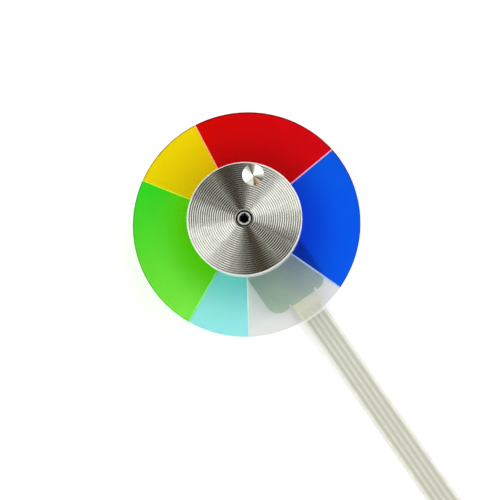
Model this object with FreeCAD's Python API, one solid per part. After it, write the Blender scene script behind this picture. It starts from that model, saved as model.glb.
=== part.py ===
import FreeCAD, Part
import math
import os

# Projector colour wheel: six glass filters bonded between a turned carrier and a grooved balance cap,
# carried by the outer rotor of a three-phase motor on two ball bearings. A flat cable leaves the
# motor's circuit board. Millimetres. Z is the spin axis, the base plate stands on Z = 0 and the
# filters face up.

# Driving dimensions

# Filter ring
WHEEL_DIAMETER = 40.0
GLASS_INNER_DIAMETER = 16.0
GLASS_THICKNESS = 0.7
GLASS_EDGE_BREAK = 0.05
FILTER_GAP = 0.08
BOND_THICKNESS = 0.05
RED_START_ANGLE = 39.8
YELLOW_START_ANGLE = 117.2
GREEN_START_ANGLE = 157.3
CYAN_START_ANGLE = 240.7
CLEAR_START_ANGLE = 271.9
BLUE_START_ANGLE = 324.4

# Carrier under the glass
CARRIER_LEDGE = 1.2
CARRIER_FLANGE_THICKNESS = 0.8
CARRIER_SPIGOT_CLEARANCE = 0.1
CARRIER_SPIGOT_ABOVE_GLASS = 0.45
CARRIER_SPIGOT_WALL = 0.6
CARRIER_WEB_STEP = 0.3
CARRIER_BOSS_DIAMETER = 4.8
CARRIER_NOSE_DIAMETER = 3.4
CARRIER_NOSE_LENGTH = 0.4

# Balance cap over the glass
CAP_SEAT_WIDTH = 1.0
CAP_UNDERCUT_HEIGHT = 0.5
CAP_OVERHANG = 0.87
CAP_RIM_HEIGHT = 2.9
CAP_CHAMFER = 0.2
CAP_ROOF_THICKNESS = 1.4
CAP_POCKET_WALL = 0.75
CAP_REGISTER_CLEARANCE = 0.05
CAP_BORE_CLEARANCE = 0.25
CAP_BORE_CHAMFER = 0.2
GROOVE_COUNT = 21
GROOVE_DEPTH = 0.07
GROOVE_INNER_MARGIN = 0.1
BALANCE_DRILL_DIAMETER = 3.7
BALANCE_DRILL_POINT_ANGLE = 150.0
BALANCE_DRILL_EDGE_MARGIN = 0.1
BALANCE_DRILL_ANGLE = 78.5

# Shaft and its clip
SHAFT_DIAMETER = 2.5
SHAFT_CHAMFER = 0.15
SHAFT_TIP_DIAMETER = 2.3
SHAFT_BELOW_CAP_FACE = 0.1
SHAFT_CENTRE_DIAMETER = 1.5
SHAFT_CENTRE_DEPTH = 1.2
SHAFT_END_GAP = 0.15
CLIP_GROOVE_DEPTH = 0.25
CLIP_GROOVE_FROM_END = 0.2
CLIP_THICKNESS = 0.2
CLIP_DIAMETER = 4.0
CLIP_MOUTH = 1.6

# Ball bearings
BEARING_OUTER_DIAMETER = 6.0
BEARING_WIDTH = 1.8
BALL_DIAMETER = 0.95
BALL_COUNT = 7
BALL_CLEARANCE = 0.03
RACE_SHOULDER = 0.375
CAGE_THICKNESS = 0.45
CAGE_WIDTH = 1.4
CAGE_POCKET_CLEARANCE = 0.06
PRELOAD_HEIGHT = 0.2
PRELOAD_THICKNESS = 0.1
PRELOAD_INSET = 0.05

# Bearing housing and end cap
HOUSING_WALL = 0.4
HOUSING_SHOULDER = 0.7
HOUSING_FLANGE = 0.6
HOUSING_ABOVE_BEARING = 0.1
END_CAP_RECESS = 0.1
END_CAP_THICKNESS = 0.35

# Base plate, as wide as the rotor
BASE_THICKNESS = 2.0
BASE_CHAMFER = 0.2
BOLT_CIRCLE = 11.6
BOLT_COUNT = 3
BOLT_HOLE_DIAMETER = 1.6
FIRST_BOLT_ANGLE = 90.0

# Stator
SLOT_COUNT = 9
CORE_HEIGHT = 2.4
CORE_RING_WIDTH = 0.9
TOOTH_WIDTH = 1.1
TOOTH_TIP_THICKNESS = 0.55
SLOT_OPENING = 0.8
INSULATOR_THICKNESS = 0.2
INSULATOR_LIP = 0.1
COIL_LENGTH = 1.2
COIL_BUILD = 0.5
COIL_CORNER = 0.45
COIL_CLEARANCE_INSIDE = 0.15
COIL_CLEARANCE_OUTSIDE = 0.05
COIL_ABOVE_BOARD = 0.5
LEAD_DIAMETER = 0.2
SOLDER_DIAMETER = 0.9
SOLDER_HEIGHT = 0.25
SOLDER_SHOULDER_DIAMETER = 0.6
SOLDER_SHOULDER_HEIGHT = 0.18

# Rotor
AIR_GAP = 0.25
MAGNET_THICKNESS = 0.9
MAGNET_BELOW_ROOF = 0.2
MAGNET_ABOVE_SKIRT = 0.3
CUP_WALL = 0.5
CUP_CORNER = 0.6
CUP_HOLE_DIAMETER = 4.4
ROOF_ABOVE_COILS = 0.5
SKIRT_ABOVE_BOARD = 0.4

# Circuit board
BOARD_THICKNESS = 0.6
BOARD_EDGE_SETBACK = 0.2
BOARD_HOLE_CLEARANCE = 0.1
TONGUE_REACH = 16.5
LEFT_EAR_WIDTH = 2.6
RIGHT_EAR_WIDTH = 3.4
EAR_CORNER = 2.4
EAR_FLAT = 0.15
SLIT_DEPTH = 0.5
SLIT_WIDTH = 0.5

# Flat cable
CABLE_AZIMUTH = -55.53
CABLE_OFFSET = 1.0
CABLE_WIDTH = 5.0
CABLE_THICKNESS = 0.3
CONDUCTOR_COUNT = 4
CONDUCTOR_PITCH = 1.0
CONDUCTOR_WIDTH = 0.7
CONDUCTOR_THICKNESS = 0.1
CABLE_SOLDER_LENGTH = 1.6
TAPE_LENGTH = 4.0
TAPE_THICKNESS = 0.08
CABLE_HUMP = 0.35
STIFFENER_THICKNESS = 0.2
STIFFENER_OVERLAP = 4.0
CONTACT_LENGTH = 4.0
ROUTE_ARC_SHARE = 0.45

# Radii that follow from the driving dimensions, from the axis outwards
wheel_r = WHEEL_DIAMETER / 2
glass_inner_r = GLASS_INNER_DIAMETER / 2
shaft_r = SHAFT_DIAMETER / 2
bearing_r = BEARING_OUTER_DIAMETER / 2
ball_r = BALL_DIAMETER / 2
race_r = ball_r + BALL_CLEARANCE
pitch_r = (shaft_r + bearing_r) / 2
housing_r = bearing_r + HOUSING_WALL
housing_flange_r = housing_r + HOUSING_FLANGE
core_ring_r = housing_r + CORE_RING_WIDTH
coil_start = core_ring_r + COIL_CLEARANCE_INSIDE
coil_inner_half = TOOTH_WIDTH / 2 + INSULATOR_LIP
coil_outer_half = coil_inner_half + COIL_BUILD
tip_inner_r = math.hypot(coil_start + COIL_LENGTH, coil_outer_half) + COIL_CLEARANCE_OUTSIDE
stator_r = tip_inner_r + TOOTH_TIP_THICKNESS
magnet_inner_r = stator_r + AIR_GAP
cup_inner_r = magnet_inner_r + MAGNET_THICKNESS
cup_r = cup_inner_r + CUP_WALL
base_r = cup_r
board_r = base_r - BOARD_EDGE_SETBACK
spigot_r = glass_inner_r - CARRIER_SPIGOT_CLEARANCE
register_r = spigot_r + CAP_REGISTER_CLEARANCE
flange_r = glass_inner_r + CARRIER_LEDGE
cap_seat_r = glass_inner_r + CAP_SEAT_WIDTH
cap_r = cap_seat_r + CAP_OVERHANG
cap_face_r = cap_r - CAP_CHAMFER
shaft_tip_r = SHAFT_TIP_DIAMETER / 2
cap_bore_r = shaft_tip_r + CAP_BORE_CLEARANCE

# Heights that follow, from the table upwards
board_bottom = BASE_THICKNESS
board_top = board_bottom + BOARD_THICKNESS
shaft_bottom = END_CAP_RECESS + END_CAP_THICKNESS + SHAFT_END_GAP
clip_bottom = shaft_bottom + CLIP_GROOVE_FROM_END
lower_bearing_bottom = clip_bottom + CLIP_THICKNESS
coil_bottom = board_top + COIL_ABOVE_BOARD
core_bottom = coil_bottom + COIL_BUILD + INSULATOR_THICKNESS
core_top = core_bottom + CORE_HEIGHT
coil_top = core_top + INSULATOR_THICKNESS + COIL_BUILD
cup_roof_bottom = coil_top + ROOF_ABOVE_COILS
cup_top = cup_roof_bottom + CUP_WALL
skirt_bottom = board_top + SKIRT_ABOVE_BOARD
upper_bearing_top = cup_roof_bottom - CARRIER_NOSE_LENGTH
upper_bearing_bottom = upper_bearing_top - BEARING_WIDTH
flange_top = cup_top + CARRIER_FLANGE_THICKNESS
glass_bottom = flange_top + BOND_THICKNESS
glass_top = glass_bottom + GLASS_THICKNESS
cap_bottom = glass_top + BOND_THICKNESS
cap_rim_bottom = cap_bottom + CAP_UNDERCUT_HEIGHT
cap_top = cap_rim_bottom + CAP_RIM_HEIGHT
cap_roof_bottom = cap_top - CAP_ROOF_THICKNESS
spigot_top = glass_top + CARRIER_SPIGOT_ABOVE_GLASS
boss_top = cap_roof_bottom - CARRIER_NOSE_LENGTH
shaft_top = cap_top - SHAFT_BELOW_CAP_FACE

# The cable's route as (distance along its azimuth, height of its centreline), chosen by hand
cable_exit_height = board_bottom - CABLE_THICKNESS / 2
cable_floor_height = CABLE_THICKNESS / 2
CABLE_ROUTE = [
    (13.0, cable_exit_height),
    (24.0, cable_exit_height),
    (37.0, cable_floor_height),
    (60.0, cable_floor_height + CABLE_HUMP),
    (80.0, cable_floor_height),
    (88.0, cable_floor_height),
]

V = FreeCAD.Vector
ORIGIN = V(0, 0, 0)
SPIN_AXIS = V(0, 0, 1)


def path_edges(corners, closed):
    """Lines and tangent arcs through (point, radius) corners; a radius of 0 leaves one sharp."""
    count = len(corners)
    stations = []
    for i, (point, radius) in enumerate(corners):
        if radius == 0 or (not closed and i in (0, count - 1)):
            stations.append((point, None, point))
            continue
        before = (corners[i - 1][0] - point).normalize()
        after = (corners[(i + 1) % count][0] - point).normalize()
        half_angle = before.getAngle(after) / 2
        reach = radius / math.tan(half_angle)
        centre = point + (before + after).normalize() * (radius / math.sin(half_angle))
        middle = centre + (point - centre).normalize() * radius
        stations.append((point + before * reach, middle, point + after * reach))
    edges = []
    for i, (start, middle, end) in enumerate(stations):
        if middle is not None:
            edges.append(Part.Arc(start, middle, end).toShape())
        if closed or i < count - 1:
            following = stations[(i + 1) % count][0]
            if (following - end).Length > 1e-6:
                edges.append(Part.LineSegment(end, following).toShape())
    return edges


def closed_face(corners):
    """A flat face inside a closed outline of (point, radius) corners."""
    return Part.Face(Part.Wire(path_edges(corners, True)))


def outward(solid):
    """The same solid with its faces turned outwards."""
    if solid.Volume < 0:
        solid.reverse()
    return solid


def turned(outline, start=0.0, sweep=360.0):
    """A solid turned about Z from closed (radius, height) or (radius, height, rounding) points."""
    corners = [(V(p[0], 0, p[1]), p[2] if len(p) == 3 else 0) for p in outline]
    solid = outward(closed_face(corners).revolve(ORIGIN, SPIN_AXIS, sweep))
    solid.rotate(ORIGIN, SPIN_AXIS, start)
    return solid


def ring(inner, outer, bottom, top, start=0.0, sweep=360.0):
    """A plain ring, or a sector of one, between two radii and two heights."""
    return turned([(inner, bottom), (outer, bottom), (outer, top), (inner, top)], start, sweep)


def chamfered_ring(inner, outer, bottom, top, chamfer):
    """A ring whose two outer edges are chamfered."""
    return turned([
        (inner, bottom), (outer - chamfer, bottom), (outer, bottom + chamfer),
        (outer, top - chamfer), (outer - chamfer, top), (inner, top),
    ])


def around(shape, count, first=0.0):
    """Copies of a shape, evenly spaced about Z from an angle in degrees."""
    copies = []
    for i in range(count):
        copy = shape.copy()
        copy.rotate(ORIGIN, SPIN_AXIS, first + i * 360 / count)
        copies.append(copy)
    return copies


def along_cable(shape):
    """A shape drawn with the cable along X, turned to the cable's azimuth."""
    turned_shape = shape.copy()
    turned_shape.rotate(ORIGIN, SPIN_AXIS, CABLE_AZIMUTH)
    return turned_shape


def filter_glass(start, end):
    """A glass sector between two angles, half a gap short of each, with its rim edges broken."""
    def at(radius, angle):
        return V(radius * math.cos(angle), radius * math.sin(angle), glass_bottom)

    first, last = math.radians(start), math.radians(end)
    middle = (first + last) / 2
    outer_trim = math.asin(FILTER_GAP / 2 / wheel_r)
    inner_trim = math.asin(FILTER_GAP / 2 / glass_inner_r)
    a, b = at(wheel_r, first + outer_trim), at(wheel_r, last - outer_trim)
    c, d = at(glass_inner_r, last - inner_trim), at(glass_inner_r, first + inner_trim)
    face = Part.Face(Part.Wire([
        Part.Arc(a, at(wheel_r, middle), b).toShape(),
        Part.LineSegment(b, c).toShape(),
        Part.Arc(c, at(glass_inner_r, middle), d).toShape(),
        Part.LineSegment(d, a).toShape(),
    ]))
    glass = outward(face.extrude(V(0, 0, GLASS_THICKNESS)))
    arcs = [edge for edge in glass.Edges if isinstance(edge.Curve, Part.Circle)]
    rim = [edge for edge in arcs if edge.Curve.Radius > (wheel_r + glass_inner_r) / 2]
    return glass.makeChamfer(GLASS_EDGE_BREAK, rim)


def filters():
    """The six filters, anticlockwise, each from its own start angle to the next one's."""
    return {
        "filter_red": filter_glass(RED_START_ANGLE, YELLOW_START_ANGLE),
        "filter_yellow": filter_glass(YELLOW_START_ANGLE, GREEN_START_ANGLE),
        "filter_green": filter_glass(GREEN_START_ANGLE, CYAN_START_ANGLE),
        "filter_cyan": filter_glass(CYAN_START_ANGLE, CLEAR_START_ANGLE),
        "filter_clear": filter_glass(CLEAR_START_ANGLE, BLUE_START_ANGLE),
        "filter_blue": filter_glass(BLUE_START_ANGLE, RED_START_ANGLE + 360),
    }


def balance_cap():
    """The cap: grooved face, chamfered rim, undercut, register bore, pocket and balance drilling."""
    groove_start = cap_bore_r + CAP_BORE_CHAMFER + GROOVE_INNER_MARGIN
    groove_pitch = (cap_face_r - groove_start) / GROOVE_COUNT
    face_points = [(groove_start, cap_top)]
    for i in range(GROOVE_COUNT):
        crest = groove_start + i * groove_pitch
        face_points.append((crest + groove_pitch / 2, cap_top - GROOVE_DEPTH))
        face_points.append((crest + groove_pitch, cap_top))
    pocket_r = register_r - CAP_POCKET_WALL
    cap = turned([
        (register_r, cap_bottom), (cap_seat_r, cap_bottom), (cap_seat_r, cap_rim_bottom),
        (cap_r, cap_rim_bottom), (cap_r, cap_top - CAP_CHAMFER), *reversed(face_points),
        (cap_bore_r + CAP_BORE_CHAMFER, cap_top), (cap_bore_r, cap_top - CAP_BORE_CHAMFER),
        (cap_bore_r, cap_roof_bottom), (pocket_r, cap_roof_bottom),
        (pocket_r, spigot_top + CARRIER_SPIGOT_CLEARANCE),
        (register_r, spigot_top + CARRIER_SPIGOT_CLEARANCE),
    ])
    drill_r = BALANCE_DRILL_DIAMETER / 2
    drill_depth = drill_r / math.tan(math.radians(BALANCE_DRILL_POINT_ANGLE / 2))
    drill = turned([(0, -drill_depth), (drill_r, 0), (drill_r, drill_depth), (0, drill_depth)])
    drill.translate(V(cap_face_r - BALANCE_DRILL_EDGE_MARGIN - drill_r, 0, cap_top))
    drill.rotate(ORIGIN, SPIN_AXIS, BALANCE_DRILL_ANGLE)
    return cap.cut(drill)


def carrier():
    """The turned hub: nose on the bearing, boss on the shaft, flange and spigot for the glass."""
    nose_r = CARRIER_NOSE_DIAMETER / 2
    hole_r = CUP_HOLE_DIAMETER / 2
    boss_r = CARRIER_BOSS_DIAMETER / 2
    web_top = flange_top + CARRIER_WEB_STEP
    pocket_r = spigot_r - CARRIER_SPIGOT_WALL
    return turned([
        (shaft_r, upper_bearing_top), (nose_r, upper_bearing_top), (nose_r, cup_roof_bottom),
        (hole_r, cup_roof_bottom), (hole_r, cup_top), (flange_r, cup_top), (flange_r, flange_top),
        (spigot_r, flange_top), (spigot_r, spigot_top), (pocket_r, spigot_top),
        (pocket_r, web_top), (boss_r, web_top),
        (boss_r, boss_top), (shaft_r, boss_top),
    ])


def rotor_cup():
    """The drawn steel cup, open downwards, with a rounded top edge."""
    hole_r = CUP_HOLE_DIAMETER / 2
    return turned([
        (cup_inner_r, skirt_bottom), (cup_r, skirt_bottom), (cup_r, cup_top, CUP_CORNER),
        (hole_r, cup_top), (hole_r, cup_roof_bottom), (cup_inner_r, cup_roof_bottom),
    ])


def shaft():
    """The shaft: a thinner tip with a countersunk centre hole, and a groove for its clip."""
    centre_r = SHAFT_CENTRE_DIAMETER / 2
    groove_r = shaft_r - CLIP_GROOVE_DEPTH
    return turned([
        (0, shaft_bottom), (shaft_r - SHAFT_CHAMFER, shaft_bottom),
        (shaft_r, shaft_bottom + SHAFT_CHAMFER), (shaft_r, clip_bottom), (groove_r, clip_bottom),
        (groove_r, clip_bottom + CLIP_THICKNESS), (shaft_r, clip_bottom + CLIP_THICKNESS),
        (shaft_r, boss_top), (shaft_tip_r, boss_top),
        (shaft_tip_r, shaft_top - SHAFT_CHAMFER), (shaft_tip_r - SHAFT_CHAMFER, shaft_top),
        (centre_r + SHAFT_CHAMFER, shaft_top), (centre_r, shaft_top - SHAFT_CHAMFER),
        (centre_r, shaft_top - SHAFT_CENTRE_DEPTH), (0, shaft_top - SHAFT_CENTRE_DEPTH - centre_r),
    ])


def retaining_clip():
    """A snap ring in the shaft's groove, open on one side."""
    groove_r = shaft_r - CLIP_GROOVE_DEPTH
    clip_top = clip_bottom + CLIP_THICKNESS
    mouth = Part.makeBox(CLIP_DIAMETER, CLIP_MOUTH, CLIP_DIAMETER, V(0, -CLIP_MOUTH / 2, 0))
    return ring(groove_r, CLIP_DIAMETER / 2, clip_bottom, clip_top).cut(mouth)


def race(inner, outer, bottom):
    """A bearing ring between two radii, with the ball groove that reaches into it."""
    middle = bottom + BEARING_WIDTH / 2
    top = bottom + BEARING_WIDTH
    section = closed_face([
        (V(inner, 0, bottom), 0), (V(outer, 0, bottom), 0), (V(outer, 0, top), 0), (V(inner, 0, top), 0),
    ])
    groove = Part.Face(Part.Wire(Part.makeCircle(race_r, V(pitch_r, 0, middle), V(0, 1, 0))))
    return outward(section.cut(groove).revolve(ORIGIN, SPIN_AXIS, 360).Solids[0])


def ball_cage(middle):
    """The cage: a thin ring at the pitch circle with a round pocket for each ball."""
    cage = ring(
        pitch_r - CAGE_THICKNESS / 2, pitch_r + CAGE_THICKNESS / 2,
        middle - CAGE_WIDTH / 2, middle + CAGE_WIDTH / 2,
    )
    pocket = Part.makeCylinder(
        ball_r + CAGE_POCKET_CLEARANCE, 2 * CAGE_THICKNESS,
        V(pitch_r - CAGE_THICKNESS, 0, middle), V(1, 0, 0),
    )
    return cage.cut(around(pocket, BALL_COUNT))


def bearing(name, bottom):
    """One ball bearing: its two rings, its balls and its cage."""
    middle = bottom + BEARING_WIDTH / 2
    ball = Part.makeSphere(ball_r, V(pitch_r, 0, middle))
    return {
        name + "_inner_ring": race(shaft_r, pitch_r - RACE_SHOULDER, bottom),
        name + "_outer_ring": race(pitch_r + RACE_SHOULDER, bearing_r, bottom),
        name + "_balls": Part.makeCompound(around(ball, BALL_COUNT)),
        name + "_cage": ball_cage(middle),
    }


def bearing_housing():
    """The tube that holds both bearings, with the flange that carries the stator core."""
    shoulder_r = bearing_r - HOUSING_SHOULDER
    lower_pocket_top = lower_bearing_bottom + BEARING_WIDTH
    upper_pocket_bottom = upper_bearing_bottom - PRELOAD_HEIGHT
    top = upper_bearing_top + HOUSING_ABOVE_BEARING
    return turned([
        (bearing_r, 0), (housing_r, 0), (housing_r, board_bottom), (housing_flange_r, board_bottom),
        (housing_flange_r, core_bottom), (housing_r, core_bottom), (housing_r, top), (bearing_r, top),
        (bearing_r, upper_pocket_bottom), (shoulder_r, upper_pocket_bottom),
        (shoulder_r, lower_pocket_top), (bearing_r, lower_pocket_top),
    ])


def preload_washer():
    """A coned spring washer between the housing's shoulder and the upper outer ring."""
    bottom = upper_bearing_bottom - PRELOAD_HEIGHT
    inner = bearing_r - HOUSING_SHOULDER + PRELOAD_INSET
    outer = bearing_r - PRELOAD_INSET
    return turned([
        (inner, bottom), (inner + PRELOAD_THICKNESS, bottom),
        (outer, upper_bearing_bottom - PRELOAD_THICKNESS), (outer, upper_bearing_bottom),
        (outer - PRELOAD_THICKNESS, upper_bearing_bottom), (inner, bottom + PRELOAD_THICKNESS),
    ])


def base_plate():
    """The round base with the housing's bore and the tapped holes."""
    plate = chamfered_ring(housing_r, base_r, 0, BASE_THICKNESS, BASE_CHAMFER)
    hole = Part.makeCylinder(BOLT_HOLE_DIAMETER / 2, BASE_THICKNESS, V(BOLT_CIRCLE / 2, 0, 0))
    return plate.cut(around(hole, BOLT_COUNT, FIRST_BOLT_ANGLE))


def tooth_bar(width, start, end, bottom, height):
    """A straight bar along X, centred on it, between two distances from the axis."""
    return Part.makeBox(end - start, width, height, V(start, -width / 2, bottom))


def stator_core():
    """The laminated core: a ring with a T-shaped tooth for each slot."""
    ring_middle = (housing_r + core_ring_r) / 2
    tip_span = 360 / SLOT_COUNT - math.degrees(SLOT_OPENING / stator_r)
    neck = tooth_bar(TOOTH_WIDTH, ring_middle, (tip_inner_r + stator_r) / 2, core_bottom, CORE_HEIGHT)
    tip = ring(tip_inner_r, stator_r, core_bottom, core_top, -tip_span / 2, tip_span)
    hub = ring(housing_r, core_ring_r, core_bottom, core_top)
    return hub.fuse(around(neck, SLOT_COUNT) + around(tip, SLOT_COUNT)).removeSplitter()


def insulator(inner, bottom):
    """A thin moulded end piece over the core's ring and necks, from an inner radius outwards."""
    neck_width = TOOTH_WIDTH + 2 * INSULATOR_LIP
    neck_start = (inner + core_ring_r) / 2
    neck = tooth_bar(neck_width, neck_start, tip_inner_r, bottom, INSULATOR_THICKNESS)
    hub = ring(inner, core_ring_r + INSULATOR_LIP, bottom, bottom + INSULATOR_THICKNESS)
    return hub.fuse(around(neck, SLOT_COUNT)).removeSplitter()


def tooth_coil():
    """The winding round one tooth, on the X axis."""
    def frame(half_width, bottom, top, corner):
        return closed_face([
            (V(coil_start, -half_width, bottom), corner), (V(coil_start, half_width, bottom), corner),
            (V(coil_start, half_width, top), corner), (V(coil_start, -half_width, top), corner),
        ])

    outside = frame(coil_outer_half, coil_bottom, coil_top, COIL_CORNER)
    inside = frame(coil_inner_half, coil_bottom + COIL_BUILD, coil_top - COIL_BUILD, 0)
    return outward(outside.cut(inside).Faces[0].extrude(V(COIL_LENGTH, 0, 0)))


def stator():
    """The core, its insulators, the coils of the three phases, their leads and solder joints."""
    coils = around(tooth_coil(), SLOT_COUNT)
    lead_place = V(coil_start + COIL_LENGTH / 2, 0, board_top)
    joint = turned([
        (0, 0), (SOLDER_DIAMETER / 2, 0), (SOLDER_SHOULDER_DIAMETER / 2, SOLDER_SHOULDER_HEIGHT),
        (LEAD_DIAMETER, SOLDER_HEIGHT), (0, SOLDER_HEIGHT),
    ])
    joint.translate(lead_place)
    lead = Part.makeCylinder(
        LEAD_DIAMETER / 2, COIL_ABOVE_BOARD - SOLDER_HEIGHT, lead_place + V(0, 0, SOLDER_HEIGHT),
    )
    slot_angle = 360 / SLOT_COUNT
    lead_angles = [i * slot_angle for i in range(CONDUCTOR_COUNT)]
    nodes = {
        "stator_core": stator_core(),
        "stator_insulator_lower": insulator(housing_flange_r, core_bottom - INSULATOR_THICKNESS),
        "stator_insulator_upper": insulator(housing_r, core_top),
        "coil_leads": Part.makeCompound([around(lead, 1, angle)[0] for angle in lead_angles]),
        "coil_solder_joints": Part.makeCompound([around(joint, 1, angle)[0] for angle in lead_angles]),
    }
    phases = "uvw"
    for i, phase in enumerate(phases):
        nodes["coils_phase_" + phase] = Part.makeCompound(coils[i::len(phases)])
    return nodes


def circuit_board():
    """The round board with the housing's hole and a tongue, slit on each side of the cable."""
    cable_low, cable_high = CABLE_OFFSET - CABLE_WIDTH / 2, CABLE_OFFSET + CABLE_WIDTH / 2
    slit_low, slit_high = cable_low - SLIT_WIDTH, cable_high + SLIT_WIDTH
    low, high = slit_low - RIGHT_EAR_WIDTH, slit_high + LEFT_EAR_WIDTH
    slit_end = TONGUE_REACH - SLIT_DEPTH
    corners = [
        (0, low, 0), (TONGUE_REACH, low, min(EAR_CORNER, RIGHT_EAR_WIDTH - EAR_FLAT)),
        (TONGUE_REACH, slit_low, 0), (slit_end, slit_low, 0),
        (slit_end, cable_low, 0), (TONGUE_REACH, cable_low, 0),
        (TONGUE_REACH, cable_high, 0), (slit_end, cable_high, 0),
        (slit_end, slit_high, 0), (TONGUE_REACH, slit_high, 0),
        (TONGUE_REACH, high, min(EAR_CORNER, LEFT_EAR_WIDTH - EAR_FLAT)), (0, high, 0),
    ]
    tongue = closed_face([(V(x, y, board_bottom), r) for x, y, r in corners])
    tongue = outward(tongue.extrude(V(0, 0, BOARD_THICKNESS)))
    disc = Part.makeCylinder(board_r, BOARD_THICKNESS, V(0, 0, board_bottom))
    hole_r = housing_flange_r + BOARD_HOLE_CLEARANCE
    hole = Part.makeCylinder(hole_r, BOARD_THICKNESS, V(0, 0, board_bottom))
    return along_cable(disc.fuse(tongue).cut(hole).removeSplitter())


def conductors(start, length, bottom, thickness):
    """One flat bar for each of the cable's conductors, from a distance along the cable."""
    first = CABLE_OFFSET - CONDUCTOR_PITCH * (CONDUCTOR_COUNT - 1) / 2
    bars = []
    for i in range(CONDUCTOR_COUNT):
        y = first + i * CONDUCTOR_PITCH - CONDUCTOR_WIDTH / 2
        bars.append(along_cable(Part.makeBox(length, CONDUCTOR_WIDTH, thickness, V(start, y, bottom))))
    return Part.makeCompound(bars)


def route_radii(route):
    """The arc radius at each inner point of a route: a share of its shorter run over the half turn."""
    radii = []
    for before, here, after in zip(route, route[1:], route[2:]):
        runs = (math.dist(before, here), math.dist(here, after))
        turn = math.atan2(after[1] - here[1], after[0] - here[0])
        turn -= math.atan2(here[1] - before[1], here[0] - before[0])
        radii.append(ROUTE_ARC_SHARE * min(runs) / math.tan(abs(turn) / 2))
    return radii


def flat_cable():
    """The cable: its route's side outline, half a thickness each side, drawn out to its width."""
    radii = [0, *route_radii(CABLE_ROUTE), 0]
    centre = path_edges([(V(x, 0, z), r) for (x, z), r in zip(CABLE_ROUTE, radii)], False)

    def shifted(edge, share, side):
        parameter = edge.FirstParameter + (edge.LastParameter - edge.FirstParameter) * share
        tangent = edge.tangentAt(parameter)
        normal = V(-tangent.z, 0, tangent.x)
        return edge.valueAt(parameter) + normal * (side * CABLE_THICKNESS / 2)

    def side_edges(side):
        edges = []
        for edge in centre:
            a, m, b = (shifted(edge, share, side) for share in (0, 0.5, 1))
            straight = isinstance(edge.Curve, Part.Line)
            edges.append((Part.LineSegment(a, b) if straight else Part.Arc(a, m, b)).toShape())
        return edges

    top, bottom = side_edges(1), side_edges(-1)
    first = Part.LineSegment(top[0].Vertexes[0].Point, bottom[0].Vertexes[0].Point).toShape()
    last = Part.LineSegment(top[-1].Vertexes[-1].Point, bottom[-1].Vertexes[-1].Point).toShape()
    outline = Part.Wire(Part.__sortEdges__([first, *top, last, *bottom]))
    cable = outward(Part.Face(outline).extrude(V(0, CABLE_WIDTH, 0)))
    cable.translate(V(0, CABLE_OFFSET - CABLE_WIDTH / 2, 0))
    length = sum(edge.Length for edge in centre)
    expected_volume = length * CABLE_WIDTH * CABLE_THICKNESS
    print("cable radii", [round(r, 1) for r in radii[1:-1]], "length", round(length, 2))
    print("cable volume", round(cable.Volume, 3), "against", round(expected_volume, 3))
    return along_cable(cable)


def cable_parts():
    """The cable, its solder joints and tape at the board, its stiffener and contacts at the far end."""
    side = CABLE_OFFSET - CABLE_WIDTH / 2
    start, end = CABLE_ROUTE[0][0], CABLE_ROUTE[-1][0]
    tape_start = V(TONGUE_REACH, side, board_bottom)
    tape = Part.makeBox(TAPE_LENGTH, CABLE_WIDTH, TAPE_THICKNESS, tape_start)
    stiffener_start = V(end - STIFFENER_OVERLAP, side, CABLE_THICKNESS)
    stiffener_length = STIFFENER_OVERLAP + CONTACT_LENGTH
    stiffener = Part.makeBox(stiffener_length, CABLE_WIDTH, STIFFENER_THICKNESS, stiffener_start)
    solder_bottom = board_bottom - CABLE_THICKNESS
    contact_bottom = CABLE_THICKNESS - CONDUCTOR_THICKNESS
    return {
        "ribbon_cable": flat_cable(),
        "cable_solder_joints": conductors(
            start - CABLE_SOLDER_LENGTH, CABLE_SOLDER_LENGTH, solder_bottom, CABLE_THICKNESS,
        ),
        "cable_tape": along_cable(tape),
        "cable_end_stiffener": along_cable(stiffener),
        "cable_contacts": conductors(end, CONTACT_LENGTH, contact_bottom, CONDUCTOR_THICKNESS),
    }


nodes = {
    **filters(),
    "filter_bond_lower": ring(glass_inner_r, flange_r, flange_top, glass_bottom),
    "filter_bond_upper": ring(glass_inner_r, cap_seat_r, glass_top, cap_bottom),
    "balance_cap": balance_cap(),
    "filter_carrier": carrier(),
    "rotor_cup": rotor_cup(),
    "magnet_ring": ring(
        magnet_inner_r, cup_inner_r, skirt_bottom + MAGNET_ABOVE_SKIRT, cup_roof_bottom - MAGNET_BELOW_ROOF,
    ),
    "motor_shaft": shaft(),
    "retaining_clip": retaining_clip(),
    **bearing("lower_bearing", lower_bearing_bottom),
    **bearing("upper_bearing", upper_bearing_bottom),
    "bearing_housing": bearing_housing(),
    "preload_washer": preload_washer(),
    "end_cap": ring(0, bearing_r, END_CAP_RECESS, END_CAP_RECESS + END_CAP_THICKNESS),
    "base_plate": base_plate(),
    **stator(),
    "circuit_board": circuit_board(),
    **cable_parts(),
}

os.makedirs("parts", exist_ok=True)
for name, shape in nodes.items():
    if not shape.isValid():
        raise ValueError(name + " isn't a valid shape")
    shape.exportStep("parts/" + name + ".step")
print(len(nodes), "nodes")
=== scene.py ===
import logging
import math
from dataclasses import dataclass, field, replace
from enum import Enum

import bmesh
import bpy
from bpy.types import Material, Node, NodeSocket, NodeTree, Object
from mathutils import Matrix, Vector

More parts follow.
